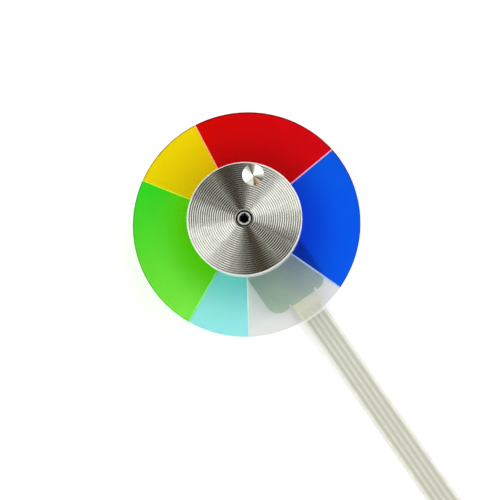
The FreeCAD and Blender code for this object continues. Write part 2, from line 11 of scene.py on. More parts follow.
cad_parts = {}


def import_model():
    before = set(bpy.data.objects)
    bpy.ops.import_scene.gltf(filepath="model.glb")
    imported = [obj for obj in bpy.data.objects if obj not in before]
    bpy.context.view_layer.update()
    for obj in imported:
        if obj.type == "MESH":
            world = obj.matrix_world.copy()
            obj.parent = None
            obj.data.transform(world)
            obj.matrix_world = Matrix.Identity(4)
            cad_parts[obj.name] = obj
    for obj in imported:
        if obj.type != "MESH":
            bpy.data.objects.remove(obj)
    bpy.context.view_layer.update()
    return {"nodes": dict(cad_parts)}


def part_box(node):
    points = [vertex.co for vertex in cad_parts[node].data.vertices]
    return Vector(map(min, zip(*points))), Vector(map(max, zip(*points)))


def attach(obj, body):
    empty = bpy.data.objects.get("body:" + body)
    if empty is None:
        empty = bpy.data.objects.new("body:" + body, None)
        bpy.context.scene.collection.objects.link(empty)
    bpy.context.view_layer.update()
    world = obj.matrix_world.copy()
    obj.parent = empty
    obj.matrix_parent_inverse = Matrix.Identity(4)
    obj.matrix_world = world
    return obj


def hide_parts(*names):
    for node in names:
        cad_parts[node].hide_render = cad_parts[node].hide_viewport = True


# Looks for a projector colour wheel: six coated glass filters, a grooved aluminium cap over them, a
# small motor below and a flat cable. Sizes are in millimetres and angles in degrees, and meshes are
# written in metres. Z is the spin axis and the table is at Z = 0.

log = logging.getLogger("colour_wheel")

MM = 0.001
IMAGE_WIDTH_PX = 500
SENSOR_WIDTH_MM = 36.0
CABLE_AZIMUTH = -55.53
CABLE_OFFSET = 1.0
DRILL_PLACE = (1.539, 7.565)
SHARP_ANGLE = 30.0
# Points nearer to each other than this, in metres, are one.
SAME_PLACE = 1e-7
# What lies less than this inside the rim still counts as the rim.
SURE_MM = 1e-3
# A noise texture's values lie mostly between these.
NOISE_LOW = 0.35
NOISE_HIGH = 0.65
# How deep the relief of a surface is, as a share of its pitch.
RELIEF_DEPTH = 0.25
GLASS_IOR = 1.47
# A Wave texture repeats each 2 pi / (this x its scale) metres.
WAVE_RATE = 20.0
WAVE_WOBBLE = 0.6
# How much a drawn surface's noise is stretched along Z.
DRAWN_STRETCH = 0.04


def linear(hex_colour: str) -> tuple[float, float, float, float]:
    """Turns an sRGB hex colour into the linear colour that a shader socket takes.

    Args:
        hex_colour: A hash sign and six hex digits.

    Returns:
        Red, green, blue and an alpha of one.
    """
    channels = [int(hex_colour[i:i + 2], 16) / 255 for i in (1, 3, 5)]
    red, green, blue = (c / 12.92 if c <= 0.04045 else ((c + 0.055) / 1.055) ** 2.4 for c in channels)
    return (red, green, blue, 1.0)


def add_node(tree: NodeTree, kind: str, inputs: dict | None = None, **settings: object) -> Node:
    """Adds a shader node with its settings, its input values and the links into it.

    Args:
        tree: The node tree to add to.
        kind: The node's type name.
        inputs: Values, or output sockets to link from, by the input's identifier.
        **settings: Properties of the node.

    Returns:
        The new node.
    """
    node = tree.nodes.new(kind)
    for name, value in settings.items():
        setattr(node, name, value)
    for identifier, value in (inputs or {}).items():
        socket = next(s for s in node.inputs if s.identifier == identifier)
        if isinstance(value, NodeSocket):
            tree.links.new(value, socket)
        else:
            socket.default_value = value
    return node


def outlet(node: Node, identifier: str) -> NodeSocket:
    """A node's output socket, by its identifier."""
    return next(s for s in node.outputs if s.identifier == identifier)


def mix_colours(tree: NodeTree, share: NodeSocket, first: object, second: object) -> NodeSocket:
    """Mixes two colours, which are values or output sockets, by the share of the second."""
    mix = add_node(
        tree, "ShaderNodeMix", {"Factor_Float": share, "A_Color": first, "B_Color": second},
        data_type="RGBA",
    )
    return outlet(mix, "Result_Color")


def from_axis(tree: NodeTree, place: NodeSocket) -> NodeSocket:
    """Measures how far a place is from the spin axis.

    Args:
        tree: The material's node tree.
        place: The place on the object, in metres.

    Returns:
        The distance, in metres.
    """
    flat = add_node(
        tree, "ShaderNodeVectorMath", {"Vector": place, "Vector_001": (1.0, 1.0, 0.0)}, operation="MULTIPLY",
    )
    distance = add_node(tree, "ShaderNodeVectorMath", {"Vector": outlet(flat, "Vector")}, operation="LENGTH")
    return outlet(distance, "Value")


def new_material(name: str) -> tuple[Material, NodeTree]:
    """Makes a node material with no nodes in it.

    Args:
        name: The material's name.

    Returns:
        The material and its node tree.
    """
    material = bpy.data.materials.new(name)
    material.use_nodes = True
    material.node_tree.nodes.clear()
    return material, material.node_tree


def mesh_piece(name: str, vertices: list, faces: list, slots: list[int], materials: list) -> Object:
    """Makes a piece from points in millimetres, smooth except at its clear edges.

    Args:
        name: The piece's name.
        vertices: Its points in millimetres.
        faces: The point numbers of each face.
        slots: The material number of each face.
        materials: The materials.

    Returns:
        The piece, in the scene.
    """
    mesh = bpy.data.meshes.new(name)
    mesh.from_pydata([Vector(v) * MM for v in vertices], [], faces)
    for material in materials:
        mesh.materials.append(material)
    mesh.polygons.foreach_set("material_index", slots)
    piece = bpy.data.objects.new(name, mesh)
    bpy.context.scene.collection.objects.link(piece)
    tidy_mesh(piece)
    return piece


def tidy_mesh(piece: Object) -> None:
    """Joins a piece's doubled points, turns its faces outwards and shades it by its edges' angles.

    Args:
        piece: A mesh object.
    """
    work = bmesh.new()
    work.from_mesh(piece.data)
    bmesh.ops.remove_doubles(work, verts=work.verts, dist=SAME_PLACE)
    bmesh.ops.recalc_face_normals(work, faces=work.faces)
    for face in work.faces:
        face.smooth = True
    work.to_mesh(piece.data)
    work.free()
    piece.data.set_sharp_from_angle(angle=math.radians(SHARP_ANGLE))


def lathe(profile: list[tuple[float, float]], segments: int) -> tuple[list, list]:
    """Turns a closed profile about Z.

    Args:
        profile: (radius, height) points in millimetres.
        segments: How many steps go round.

    Returns:
        The points and the faces of the turned form.
    """
    count = len(profile)
    vertices = []
    for i in range(segments):
        angle = 2 * math.pi * i / segments
        vertices += [(r * math.cos(angle), r * math.sin(angle), z) for r, z in profile]
    faces = []
    for i in range(segments):
        here, there = i * count, (i + 1) % segments * count
        for j in range(count):
            k = (j + 1) % count
            faces.append((here + j, there + j, there + k, here + k))
    return vertices, faces


class Grain(Enum):
    """What the making of a surface left on it."""

    TURNED = "rings about an axis along Z"
    DRAWN = "fine lines along Z"
    BLASTED = "even fine pits"
    LAYERED = "sheets stacked along Z"
    MOULDED = "a faint ripple"


@dataclass(frozen=True)
class Finish:
    """An opaque finish: a base colour that varies a little, its gloss, and the relief of its making.

    The pitch is the spacing of that relief, and the mottle the size of the patches in which colour
    and gloss vary. Closer to the spin axis than the painted shade radius, painted shade darkens the
    surface where a bore or centre hole lies in shade, with a ragged edge where one is given.
    """

    name: str
    colour: str
    tint: str
    roughness: float
    roughness_spread: float
    grain: Grain
    pitch: float
    relief: float
    metallic: float = 0.0
    coat: float = 0.0
    mottle: float = 2.0
    centre: tuple[float, float] = (0.0, 0.0)
    # Painted shade near the spin axis: its radius, its ragged edge, the noise of that edge and its colour.
    painted_shade_radius: float = 0.0
    painted_shade_ragged: float = 0.0
    shade_edge_noise_per_mm: float = 1.6
    painted_shade_colour: str = "#100F0D"

    def relief_height(self, tree: NodeTree, place: NodeSocket) -> NodeSocket:
        """Builds the pattern that the making left.

        Args:
            tree: The material's node tree.
            place: The place on the object, in metres.

        Returns:
            The pattern's height, from 0 to 1.
        """
        if self.grain in (Grain.TURNED, Grain.LAYERED):
            scale = 2 * math.pi / (WAVE_RATE * self.pitch * MM)
            wave = add_node(
                tree, "ShaderNodeTexWave",
                {"Vector": place, "Scale": scale, "Distortion": WAVE_WOBBLE, "Detail": 1.0},
                wave_type="RINGS" if self.grain is Grain.TURNED else "BANDS",
                rings_direction="Z", bands_direction="Z",
            )
            return outlet(wave, "Fac")
        if self.grain is Grain.DRAWN:
            stretch = add_node(
                tree, "ShaderNodeMapping", {"Vector": place, "Scale": (1.0, 1.0, DRAWN_STRETCH)},
            )
            place = outlet(stretch, "Vector")
        noise = add_node(
            tree, "ShaderNodeTexNoise", {"Vector": place, "Scale": 1 / (self.pitch * MM), "Detail": 2.0},
        )
        return outlet(noise, "Fac")

    def overlay(self, tree: NodeTree, place: NodeSocket, clean: NodeSocket) -> NodeSocket:
        """Darkens the surface near the spin axis with painted shade, where a bore or centre hole lies in
        shade.

        Args:
            tree: The material's node tree.
            place: The place on the object, in metres.
            clean: The clean surface's colour.

        Returns:
            The colour of both.
        """
        if self.painted_shade_radius == 0:
            return clean
        # Painted shade: a dark colour inside a ragged circle about the axis, for the shade in a bore.
        shade_edge_noise = add_node(
            tree, "ShaderNodeTexNoise", {"Vector": place, "Scale": self.shade_edge_noise_per_mm / MM, "Detail": 1.0},
        )
        edge = add_node(
            tree, "ShaderNodeMapRange",
            {
                "Value": outlet(shade_edge_noise, "Fac"), "From Min": NOISE_LOW, "From Max": NOISE_HIGH,
                "To Min": (self.painted_shade_radius - self.painted_shade_ragged) * MM,
                "To Max": (self.painted_shade_radius + self.painted_shade_ragged) * MM,
            },
            clamp=False,
        )
        inside = add_node(
            tree, "ShaderNodeMath",
            {"Value": from_axis(tree, place), "Value_001": outlet(edge, "Result")}, operation="LESS_THAN",
        )
        return mix_colours(tree, outlet(inside, "Value"), clean, linear(self.painted_shade_colour))

    def material(self) -> Material:
        """Builds the material.

        Returns:
            A procedural material named for the finish.
        """
        material, tree = new_material(self.name)
        position = add_node(tree, "ShaderNodeTexCoord")
        to_centre = (-self.centre[0] * MM, -self.centre[1] * MM, 0.0)
        centred = add_node(
            tree, "ShaderNodeMapping", {"Vector": outlet(position, "Object"), "Location": to_centre},
        )
        place = outlet(centred, "Vector")
        mottle = add_node(
            tree, "ShaderNodeTexNoise", {"Vector": place, "Scale": 1 / (self.mottle * MM), "Detail": 3.0},
        )
        patches = add_node(
            tree, "ShaderNodeMapRange",
            {"Value": outlet(mottle, "Fac"), "From Min": NOISE_LOW, "From Max": NOISE_HIGH},
        )
        colour = mix_colours(tree, outlet(patches, "Result"), linear(self.colour), linear(self.tint))
        colour = self.overlay(tree, outlet(position, "Object"), colour)
        gloss = add_node(
            tree, "ShaderNodeMapRange",
            {
                "Value": outlet(patches, "Result"),
                "To Min": self.roughness - self.roughness_spread,
                "To Max": self.roughness + self.roughness_spread,
            },
        )
        bump = add_node(
            tree, "ShaderNodeBump",
            {
                "Height": self.relief_height(tree, place), "Strength": self.relief,
                "Distance": self.pitch * MM * RELIEF_DEPTH,
            },
        )
        shader = add_node(
            tree, "ShaderNodeBsdfPrincipled",
            {
                "Base Color": colour, "Roughness": outlet(gloss, "Result"),
                "Normal": outlet(bump, "Normal"), "Metallic": self.metallic, "Coat Weight": self.coat,
            },
        )
        add_node(tree, "ShaderNodeOutputMaterial", {"Surface": outlet(shader, "BSDF")})
        return material


@dataclass(frozen=True)
class ConductorFilm(Finish):
    """Film over flat conductors that lie side by side and show through it as soft bands.

    Where the film starts out thick, it hides the conductors up to one distance along their azimuth, and
    shows them fully from another.
    """

    conductor: str = "#BFC1B1"
    azimuth: float = CABLE_AZIMUTH
    offset: float = CABLE_OFFSET
    conductor_pitch: float = 1.0
    band_core: float = 0.1
    band_edge: float = 0.42
    between: float = 0.5
    margin: float = 1.8
    margin_blur: float = 0.25
    hidden_to: float = 0.0
    shown_from: float = 0.0

    def overlay(self, tree: NodeTree, place: NodeSocket, clean: NodeSocket) -> NodeSocket:
        """Shows the conductors through the film.

        Args:
            tree: The material's node tree.
            place: The place on the object, in metres.
            clean: The film's colour.

        Returns:
            The colour of both.
        """
        turn = math.radians(self.azimuth)
        lateral = add_node(
            tree, "ShaderNodeVectorMath",
            {"Vector": place, "Vector_001": (-math.sin(turn), math.cos(turn), 0.0)},
            operation="DOT_PRODUCT",
        )
        steps = add_node(
            tree, "ShaderNodeMath",
            {
                "Value": outlet(lateral, "Value"), "Value_001": 1 / (self.conductor_pitch * MM),
                "Value_002": 0.5 - self.offset / self.conductor_pitch,
            },
            operation="MULTIPLY_ADD",
        )
        off_centre = add_node(
            tree, "ShaderNodeMath", {"Value": outlet(steps, "Value"), "Value_001": 0.5}, operation="PINGPONG",
        )
        film = add_node(
            tree, "ShaderNodeMapRange",
            {
                "Value": outlet(off_centre, "Value"),
                "From Min": self.band_core, "From Max": self.band_edge, "To Max": self.between,
            },
            interpolation_type="SMOOTHSTEP",
        )
        from_middle = add_node(
            tree, "ShaderNodeMath",
            {"Value": outlet(lateral, "Value"), "Value_001": self.offset * MM}, operation="SUBTRACT",
        )
        out = add_node(tree, "ShaderNodeMath", {"Value": outlet(from_middle, "Value")}, operation="ABSOLUTE")
        edge = add_node(
            tree, "ShaderNodeMapRange",
            {
                "Value": outlet(out, "Value"),
                "From Min": self.margin * MM, "From Max": (self.margin + self.margin_blur) * MM,
            },
            interpolation_type="SMOOTHSTEP",
        )
        share = add_node(
            tree, "ShaderNodeMath",
            {"Value": outlet(film, "Result"), "Value_001": outlet(edge, "Result")}, operation="MAXIMUM",
        )
        if self.shown_from:
            along = add_node(
                tree, "ShaderNodeVectorMath",
                {"Vector": place, "Vector_001": (math.cos(turn), math.sin(turn), 0.0)},
                operation="DOT_PRODUCT",
            )
            hidden = add_node(
                tree, "ShaderNodeMapRange",
                {
                    "Value": outlet(along, "Value"),
                    "From Min": self.hidden_to * MM, "From Max": self.shown_from * MM,
                    "To Min": 1.0, "To Max": 0.0,
                },
                interpolation_type="SMOOTHSTEP",
            )
            share = add_node(
                tree, "ShaderNodeMath",
                {"Value": outlet(share, "Value"), "Value_001": outlet(hidden, "Result")}, operation="MAXIMUM",
            )
        return mix_colours(tree, outlet(share, "Value"), linear(self.conductor), clean)


@dataclass(frozen=True)
class CoatedGlass:
    """Polished borosilicate glass with a dichroic coating, which colours what shines through.

    The colour has one shade near the hub and others at the rim, from the filter's first edge to its last.
    This is partly the drift of the coating's thickness and partly painted shade and light: the shades darken
    or lighten each part of the filter to match how it is lit.
    """

    name: str
    hub_colour: str
    first_colour: str
    last_colour: str
    start: float
    end: float
    hub_radius: float = 9.5
    rim_radius: float = 17.0
    roughness: float = 0.0
    specular_level: float = 0.25

    def material(self) -> Material:
        """Builds the material.

        Returns:
            A clear coloured material.
        """
        material, tree = new_material(self.name)
        place = outlet(add_node(tree, "ShaderNodeTexCoord"), "Object")
        outwards = add_node(
            tree, "ShaderNodeMapRange",
            {
                "Value": from_axis(tree, place),
                "From Min": self.hub_radius * MM, "From Max": self.rim_radius * MM,
            },
            interpolation_type="SMOOTHSTEP",
        )
        turns = (math.radians(self.start), math.radians(self.end))
        first, last = (Vector((math.cos(turn), math.sin(turn), 0.0)) for turn in turns)
        across = (last - first).normalized()
        along = add_node(
            tree, "ShaderNodeVectorMath", {"Vector": place, "Vector_001": across}, operation="DOT_PRODUCT",
        )
        reach = self.rim_radius * MM
        round_share = add_node(
            tree, "ShaderNodeMapRange",
            {
                "Value": outlet(along, "Value"),
                "From Min": first.dot(across) * reach, "From Max": last.dot(across) * reach,
            },
        )
        rim_colour = mix_colours(
            tree, outlet(round_share, "Result"), linear(self.first_colour), linear(self.last_colour),
        )
        colour = mix_colours(tree, outlet(outwards, "Result"), linear(self.hub_colour), rim_colour)
        shader = add_node(
            tree, "ShaderNodeBsdfPrincipled",
            {
                "Base Color": colour, "Transmission Weight": 1.0,
                "Roughness": self.roughness, "IOR": GLASS_IOR, "Specular IOR Level": self.specular_level,
            },
        )
        add_node(tree, "ShaderNodeOutputMaterial", {"Surface": outlet(shader, "BSDF")})
        return material


@dataclass(frozen=True)
class GroundGlassEdge:
    """The edge of cut glass, ground with fine grit: frosted. Its colour is painted: painted light at a joint,
    for the light that the edge scatters, and painted shade at a rim.
    """

    name: str
    colour: str
    grit: float = 0.03
    relief: float = 0.4
    roughness: float = 0.6
    transmission: float = 0.15

    def material(self) -> Material:
        """Builds the material.

        Returns:
            A frosted material.
        """
        material, tree = new_material(self.name)
        place = outlet(add_node(tree, "ShaderNodeTexCoord"), "Object")
        grains = add_node(tree, "ShaderNodeTexNoise", {"Vector": place, "Scale": 1 / (self.grit * MM)})
        bump = add_node(
            tree, "ShaderNodeBump",
            {
                "Height": outlet(grains, "Fac"), "Strength": self.relief,
                "Distance": self.grit * MM * RELIEF_DEPTH,
            },
        )
        shader = add_node(
            tree, "ShaderNodeBsdfPrincipled",
            {
                "Base Color": linear(self.colour), "Roughness": self.roughness, "IOR": GLASS_IOR,
                "Transmission Weight": self.transmission, "Normal": outlet(bump, "Normal"),
            },
        )
        add_node(tree, "ShaderNodeOutputMaterial", {"Surface": outlet(shader, "BSDF")})
        return material


# Aluminium, turned: sharp rings of light along the grooves. Its base colour is darker than aluminium's own,
# painted shade over the whole face, and inside the bore it is darker still with painted shade.
TURNED_ALUMINIUM = Finish(
    "turned_aluminium", "#A2A39C", "#9B9C95", 0.14, 0.03, Grain.TURNED, 0.6, 0.0, metallic=1.0, mottle=1.2,
    painted_shade_radius=1.42,
)
# The same aluminium at the rim: satin, with a nearly white base colour and half of it diffuse, painted light
# for the bright band along the rim.
SATIN_ALUMINIUM_PAINTED_LIGHT = Finish(
    "satin_aluminium_painted_light", "#F2F4F2", "#EAECEA", 0.5, 0.05, Grain.TURNED, 0.3, 0.1,
    metallic=0.5, mottle=1.2,
)
# Aluminium cut by a drill point: the brightest face, with faint rings about the drill's own axis.
DRILLED_ALUMINIUM = Finish(
    "drilled_aluminium", "#DCDDDA", "#D4D1C2", 0.17, 0.04, Grain.TURNED, 0.16, 0.05, metallic=1.0,
    mottle=0.8, centre=DRILL_PLACE,
)
# Steel, deep drawn and nickel plated: satin, with faint lines down the wall.
DRAWN_STEEL = Finish(
    "nickel_plated_drawn_steel", "#B5B4AE", "#A8A7A1", 0.3, 0.06, Grain.DRAWN, 0.08, 0.25,
    metallic=1.0, mottle=3.0,
)
# Aluminium, die cast and then faced on a lathe: dull rings.
CAST_ALUMINIUM = Finish(
    "faced_cast_aluminium", "#B9BABA", "#ABADAE", 0.38, 0.06, Grain.TURNED, 0.15, 0.3,
    metallic=1.0, mottle=3.0,
)
# Brass, turned: warm and bright.
TURNED_BRASS = Finish(
    "turned_brass", "#D9B56A", "#CFA95C", 0.24, 0.05, Grain.TURNED, 0.06, 0.2, metallic=1.0,
)
# Chromium steel, ground and lapped: near mirror.
BEARING_STEEL = Finish(
    "lapped_bearing_steel", "#C9CACB", "#C2C3C5", 0.1, 0.03, Grain.TURNED, 0.03, 0.05, metallic=1.0,
)
# Steel, ground between centres: satin at its end, and dark with painted shade in its centre hole, with a
# ragged edge.
GROUND_STEEL = Finish(
    "ground_shaft_steel", "#DCDDDA", "#D0D0CC", 0.4, 0.06, Grain.TURNED, 0.2, 0.05, metallic=0.4,
    painted_shade_radius=0.84, painted_shade_ragged=0.105,
)
# Spring steel, tempered to a dark oxide.
SPRING_STEEL = Finish(
    "tempered_spring_steel", "#6E6F73", "#5C5F66", 0.35, 0.08, Grain.BLASTED, 0.05, 0.2, metallic=1.0,
)
# Steel strip, pressed into a cage: slightly yellow from its oil.
CAGE_STEEL = Finish(
    "pressed_cage_steel", "#B7AE98", "#A79E88", 0.32, 0.06, Grain.BLASTED, 0.06, 0.2, metallic=1.0,
)
# Bonded magnet powder under an epoxy coat: dark grey with a low sheen.
BONDED_MAGNET = Finish(
    "epoxy_coated_bonded_magnet", "#2B2C2F", "#35363A", 0.5, 0.08, Grain.BLASTED, 0.06, 0.35, coat=0.15,
)
# Silicon steel sheets, stamped, stacked and varnished.
LAMINATED_STEEL = Finish(
    "varnished_steel_laminations", "#4A4D52", "#5A5750", 0.4, 0.08, Grain.LAYERED, 0.2, 0.6, metallic=0.7,
)
# Nylon with glass fibre, moulded: off-white and matt.
MOULDED_NYLON = Finish(
    "moulded_glass_filled_nylon", "#E4E1D6", "#D9D5C8", 0.55, 0.08, Grain.MOULDED, 0.3, 0.2,
)
# Copper wire in clear enamel: turns lie side by side from the axis outwards.
ENAMELLED_COPPER = Finish(
    "enamelled_copper_wire", "#B4622F", "#9C4F24", 0.3, 0.06, Grain.TURNED, 0.14, 0.9, metallic=0.9, coat=0.3,
)
# Solder, reflowed: bright with a grainy skin.
REFLOWED_SOLDER = Finish(
    "reflowed_solder", "#C3C5C6", "#AEB0B2", 0.26, 0.08, Grain.BLASTED, 0.12, 0.3, metallic=1.0,
)
# Glass-epoxy board under grey-green solder mask: a soft gloss over the weave. Its base colour is much paler
# than the mask's own: painted light for the dim light under the glass.
MASKED_BOARD = Finish(
    "solder_masked_glass_epoxy", "#D4EDD2", "#CEE2D0", 0.38, 0.06, Grain.MOULDED, 0.25, 0.25,
    coat=0.2, mottle=3.5,
)
# Adhesive, cured clear to amber.
CURED_ADHESIVE = Finish(
    "cured_epoxy_adhesive", "#D8CFB2", "#C9BE9C", 0.35, 0.08, Grain.MOULDED, 0.2, 0.3,
)
# Polyester film with its hot-melt glue, off-white, over flat tinned conductors.
CABLE_FILM = ConductorFilm(
    "polyester_film_over_tinned_copper", "#ECEDE4", "#E4E6DC", 0.34, 0.06, Grain.MOULDED, 0.4, 0.25,
    coat=0.2, mottle=1.6,
)
# Crepe paper tape, aged to cream, over the same conductors. Its base colour is paler than the tape's own,
# nearly white: painted light for the dim light under the glass.
PAPER_TAPE = ConductorFilm(
    "aged_paper_tape", "#FEFEEA", "#FCFAE0", 0.62, 0.08, Grain.BLASTED, 0.15, 0.5, mottle=0.9,
    conductor="#E9EADC", between=0.4, hidden_to=17.6, shown_from=19.6,
)
# Polyester stiffener: a thick white film.
STIFFENER_FILM = Finish(
    "polyester_stiffener", "#DDE1E2", "#D3D8DA", 0.4, 0.06, Grain.MOULDED, 0.5, 0.15,
)
# Copper flats, tinned and rolled.
TINNED_COPPER = Finish(
    "tinned_copper", "#CBCAC4", "#BFBDB5", 0.28, 0.06, Grain.BLASTED, 0.08, 0.2, metallic=1.0,
)


@dataclass
class Camera:
    """The camera, at the photograph's viewing angle: nearly straight down on the filters."""

    target: tuple[float, float, float] = (0.805, -5.004, 9.45)
    back: tuple[float, float, float] = (0.062, -0.140, 1.0)
    distance: float = 115.0
    focal_px: float = 660.5
    clip_start: float = 10.0

    def build(self) -> Object:
        """Makes the camera and gives it to the scene.

        Returns:
            The camera.
        """
        data = bpy.data.cameras.new("camera")
        data.sensor_fit = "HORIZONTAL"
        data.sensor_width = SENSOR_WIDTH_MM
        data.lens = self.focal_px * SENSOR_WIDTH_MM / IMAGE_WIDTH_PX
        data.clip_start = self.clip_start * MM
        camera = bpy.data.objects.new("camera", data)
        bpy.context.scene.collection.objects.link(camera)
        back = Vector(self.back).normalized()
        right = Vector((0, 1, 0)).cross(back).normalized()
        up = back.cross(right)
        turn = Matrix((right, up, back)).transposed().to_4x4()
        place = (Vector(self.target) + back * self.distance) * MM
        camera.matrix_world = Matrix.Translation(place) @ turn
        bpy.context.scene.camera = camera
        return camera


@dataclass(frozen=True)
class SoftLamp:
    """A soft lamp: its azimuth and elevation, its width and height, its power in watts and its colour."""

    name: str
    azimuth: float
    elevation: float
    size: tuple[float, float]
    power: float
    colour: str = "#FFFFFF"


@dataclass
class Studio:
    """The table, its soft lamps and a pale horizon all round.

    A groove at some azimuth mirrors lamps at that azimuth and at the opposite one: lamps on both sides
    make the cap's bright fans, a lamp on one side makes its streaked parts, the dim ones its grey parts,
    and where all miss lie the dark fans. The two low ones give the drilling its brown and cream sectors.
    No lamp stands so high that the flat glass mirrors it to the camera.
    """

    table_size: float = 3000.0
    table_drop: float = 0.01
    table_colour: str = "#E4E4E4"
    table_glow: float = 0.44
    # Painted shade: seen in glass and metal the table glows less, for the table in shade under the wheel.
    glass_glow_painted_shade: float = 0.26
    glow_near: float = 300.0
    glow_far: float = 1000.0
    lamps: tuple[SoftLamp, ...] = (
        SoftLamp("right", 30.0, 44.0, (470.0, 430.0), 1.7),
        SoftLamp("front_left", 209.0, 44.0, (480.0, 430.0), 1.52),
        SoftLamp("front_right", 328.0, 44.0, (180.0, 400.0), 0.28),
        SoftLamp("back_left", 152.0, 52.0, (170.0, 110.0), 0.1),
        SoftLamp("back_edge", 121.0, 42.0, (70.0, 400.0), 0.04),
        SoftLamp("back_warm", 118.0, 38.0, (180.0, 70.0), 0.045, "#C29A7C"),
        SoftLamp("back_cream", 84.0, 37.0, (170.0, 60.0), 0.036, "#F6F2DA"),
        SoftLamp("back_fill", 80.0, 44.0, (180.0, 430.0), 0.13),
        SoftLamp("front_fill", 262.0, 44.0, (180.0, 430.0), 0.13),
    )
    lamp_distance: float = 500.0
    horizon_strength: float = 1.4
    sky_strength: float = 0.1
    sky_colour: str = "#FFF3D6"
    horizon_top: float = 8.0
    sky_bottom: float = 18.0

    def build(self) -> None:
        """Makes the table, the lamps and the world."""
        self.build_table()
        for lamp in self.lamps:
            self.build_lamp(lamp)
        self.build_world()
        settings = bpy.context.scene.view_settings
        settings.view_transform = "Standard"

    def build_table(self) -> None:
        """Makes the pale table.

        It glows only for rays that look at it, straight or in a glass or metal, and more far away, where
        the lamps don't reach. Seen in a glass or metal it glows less than seen straight: painted shade for
        the table under the wheel.
        """
        material, tree = new_material("pale_table")
        path = add_node(tree, "ShaderNodeLightPath")
        rays = outlet(path, "Is Camera Ray")
        for kind in ("Is Glossy Ray", "Is Transmission Ray"):
            either = add_node(
                tree, "ShaderNodeMath", {"Value": rays, "Value_001": outlet(path, kind)},
                operation="ADD", use_clamp=True,
            )
            rays = outlet(either, "Value")
        near = add_node(
            tree, "ShaderNodeMath",
            {
                "Value": outlet(path, "Is Camera Ray"), "Value_001": self.table_glow - self.glass_glow_painted_shade,
                "Value_002": self.glass_glow_painted_shade,
            },
            operation="MULTIPLY_ADD",
        )
        place = outlet(add_node(tree, "ShaderNodeTexCoord"), "Object")
        level = add_node(
            tree, "ShaderNodeMapRange",
            {
                "Value": from_axis(tree, place), "To Min": outlet(near, "Value"),
                "From Min": self.glow_near * MM, "From Max": self.glow_far * MM,
            },
            interpolation_type="SMOOTHSTEP",
        )
        glow_strength = add_node(
            tree, "ShaderNodeMath", {"Value": rays, "Value_001": outlet(level, "Result")},
            operation="MULTIPLY",
        )
        glow = add_node(tree, "ShaderNodeEmission", {"Strength": outlet(glow_strength, "Value")})
        cover = add_node(tree, "ShaderNodeBsdfDiffuse", {"Color": linear(self.table_colour)})
        both = add_node(
            tree, "ShaderNodeAddShader",
            {"Shader": outlet(cover, "BSDF"), "Shader_001": outlet(glow, "Emission")},
        )
        add_node(tree, "ShaderNodeOutputMaterial", {"Surface": outlet(both, "Shader")})
        half, down = self.table_size / 2, -self.table_drop
        corners = [(-half, -half, down), (half, -half, down), (half, half, down), (-half, half, down)]
        table = mesh_piece("table", corners, [(0, 1, 2, 3)], [0], [material])

    def build_lamp(self, lamp: SoftLamp) -> None:
        """Makes one soft lamp that looks at the wheel.

        Args:
            lamp: Its place, size and power.
        """
        data = bpy.data.lights.new(f"{lamp.name}_soft_lamp", "AREA")
        data.shape = "RECTANGLE"
        data.size, data.size_y = (side * MM for side in lamp.size)
        data.energy = lamp.power
        data.color = linear(lamp.colour)[:3]
        box = bpy.data.objects.new(data.name, data)
        bpy.context.scene.collection.objects.link(box)
        turn, rise = math.radians(lamp.azimuth), math.radians(lamp.elevation)
        away = Vector((math.cos(turn) * math.cos(rise), math.sin(turn) * math.cos(rise), math.sin(rise)))
        box.location = away * self.lamp_distance * MM
        box.rotation_euler = away.to_track_quat("Z", "Y").to_euler()
        box.visible_camera = False

    def build_world(self) -> None:
        """Makes the world: pale near the horizon and dark above."""
        world = bpy.data.worlds.new("studio")
        world.use_nodes = True
        tree = world.node_tree
        tree.nodes.clear()
        direction = add_node(tree, "ShaderNodeTexCoord")
        parts = add_node(tree, "ShaderNodeSeparateXYZ", {"Vector": outlet(direction, "Generated")})
        height = add_node(
            tree, "ShaderNodeMapRange",
            {
                "Value": outlet(parts, "Z"),
                "From Min": math.sin(math.radians(self.horizon_top)),
                "From Max": math.sin(math.radians(self.sky_bottom)),
            },
            interpolation_type="SMOOTHSTEP",
        )
        light = mix_colours(
            tree, outlet(height, "Result"), (self.horizon_strength,) * 3 + (1.0,),
            [channel * self.sky_strength for channel in linear(self.sky_colour)],
        )
        sky = add_node(tree, "ShaderNodeBackground", {"Color": light})
        add_node(tree, "ShaderNodeOutputWorld", {"Surface": outlet(sky, "Background")})
        bpy.context.scene.world = world


